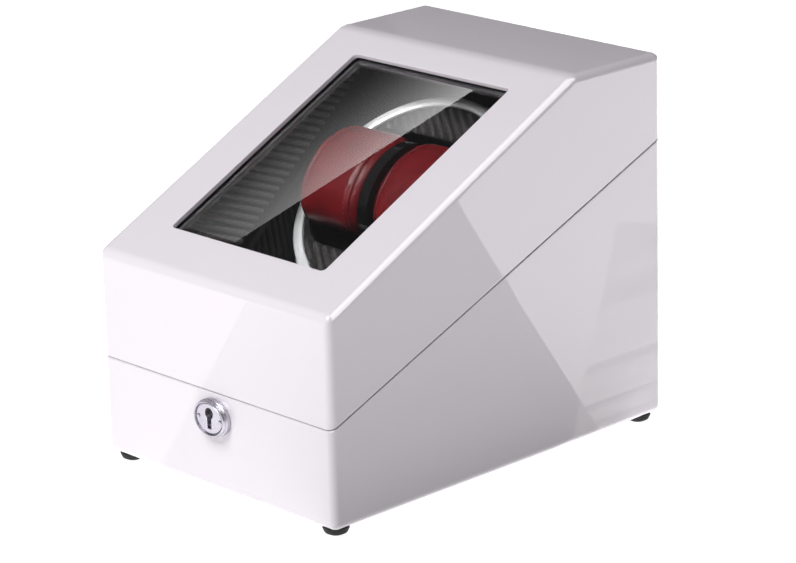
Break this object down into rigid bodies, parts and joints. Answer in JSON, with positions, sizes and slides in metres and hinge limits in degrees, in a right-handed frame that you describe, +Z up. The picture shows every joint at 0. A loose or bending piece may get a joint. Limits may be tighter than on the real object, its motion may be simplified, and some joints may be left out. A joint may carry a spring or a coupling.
{
  "type": "watch winder box",
  "caption": "Gloss white box with a windowed, hinged slanting lid over a tilted motor-driven turntable that holds and turns wristwatches on red cushions.",
  "frame": {"origin": "centre of the bounding box in plan, on the surface under the feet", "axes": "+Z up; +Y from the front face with the lock to the hinged back; +X across the box, to the right of someone facing its front"},
  "size_m": [0.19, 0.2694, 0.22],
  "materials": {
    "white_lacquer": "high-gloss white piano lacquer over wood fibreboard",
    "clear_glass": "polished clear pane",
    "black_plastic": "moulded black plastic, satin",
    "gloss_black": "polished black plastic",
    "carbon_lining": "dark grey ribbed carbon-look sheet, semi-gloss",
    "silver_rim": "bright silver plating, softly polished",
    "red_leather": "wine-red synthetic leather over foam, semi-gloss",
    "steel": "zinc-plated steel",
    "nickel": "nickel plating",
    "brass": "turned brass",
    "rubber": "black rubber, matte",
    "batten_wood": "plain softwood",
    "circuit_board": "green solder mask",
    "red_wire": "red insulation"
  },
  "bodies": {
    "base": {"base_lining_left": "carbon_lining", "base_lining_right": "carbon_lining", "base_shell": "white_lacquer", "bearing_housing": "black_plastic", "bottom_cover": "black_plastic", "bush_front": "brass", "bush_rear": "brass", "control_board": "circuit_board", "control_tray": "black_plastic", "cover_screw_1": "steel", "cover_screw_2": "steel", "cover_screw_3": "steel", "cover_screw_4": "steel", "deck_batten_left": "batten_wood", "deck_batten_right": "batten_wood", "deck_panel": "gloss_black", "drive_belt": "rubber", "drive_frame": "steel", "foot_back_left": "rubber", "foot_back_right": "rubber", "foot_front_left": "rubber", "foot_front_right": "rubber", "gearbox": "steel", "hinge_base_leaf_left": "nickel", "hinge_base_leaf_right": "nickel", "hinge_pin_left": "steel", "hinge_pin_right": "steel", "lock_back_plate": "steel", "lock_case": "steel", "lock_escutcheon": "nickel", "lock_pin_left": "nickel", "lock_pin_right": "nickel", "mode_selector": "black_plastic", "motor": "steel", "motor_lead": "red_wire", "rear_cover": "black_plastic", "supply_socket": "black_plastic", "switch_housing": "black_plastic", "switch_lead": "red_wire"},
    "lid": {"lid_shell": "white_lacquer", "window_pane": "clear_glass", "window_retainer": "black_plastic", "lid_lining": "carbon_lining", "hinge_lid_leaf_left": "nickel", "hinge_lid_leaf_right": "nickel", "lock_keeper": "steel"},
    "turntable": {"turntable_rim": "silver_rim", "turntable_disc": "carbon_lining", "cushion_tub": "gloss_black", "cushion_divider": "gloss_black", "turntable_shaft": "steel", "driven_pulley": "black_plastic"},
    "left_cushion": {"cushion_left": "red_leather"},
    "right_cushion": {"cushion_right": "red_leather"},
    "drive_output": {"motor_shaft": "steel", "motor_pulley": "black_plastic"},
    "lock_cylinder": {"lock_rotor": "brass"},
    "bolt": {"lock_bolt": "brass"},
    "knob": {"mode_knob": "black_plastic"},
    "rocker": {"power_rocker": "gloss_black"}
  },
  "joints": [
    {"name": "lid_hinge", "type": "hinge", "parent": "base", "child": "lid", "pos_m": [0, 0.1325, 0.1707], "axis": [-1, 0, 0], "range_deg": [0, 95]},
    {"name": "turntable_spin", "type": "hinge", "parent": "base", "child": "turntable", "pos_m": [0, 0.014, 0.1433], "axis": [0, -0.6508, 0.7593], "continuous": true},
    {"name": "motor_pulley_spin", "type": "hinge", "parent": "base", "child": "drive_output", "pos_m": [0, -0.01637, 0.11727], "axis": [0, -0.6508, 0.7593], "continuous": true},
    {"name": "left_cushion_lift", "type": "slide", "parent": "turntable", "child": "left_cushion", "axis": [0, -0.6508, 0.7593], "range_m": [0, 0.005]},
    {"name": "right_cushion_lift", "type": "slide", "parent": "turntable", "child": "right_cushion", "axis": [0, -0.6508, 0.7593], "range_m": [0, 0.005]},
    {"name": "key_turn", "type": "hinge", "parent": "base", "child": "lock_cylinder", "pos_m": [0, -0.1202, 0.0482], "axis": [0, 1, 0], "range_deg": [0, 90]},
    {"name": "bolt_slide", "type": "slide", "parent": "base", "child": "bolt", "axis": [1, 0, 0], "range_m": [0, 0.00537]},
    {"name": "mode_knob_turn", "type": "hinge", "parent": "base", "child": "knob", "pos_m": [0, 0.122, 0.062], "axis": [0, 1, 0], "range_deg": [0, 270]},
    {"name": "power_rocker_tilt", "type": "hinge", "parent": "base", "child": "rocker", "pos_m": [0.024, 0.119, 0.062], "axis": [-1, 0, 0], "range_deg": [0, 16]}
  ],
  "couplings": [
    {"joint": "motor_pulley_spin", "follows": "turntable_spin", "ratio": 4},
    {"joint": "key_turn", "follows": "bolt_slide", "rad_per_m": 292.3}
  ]
}
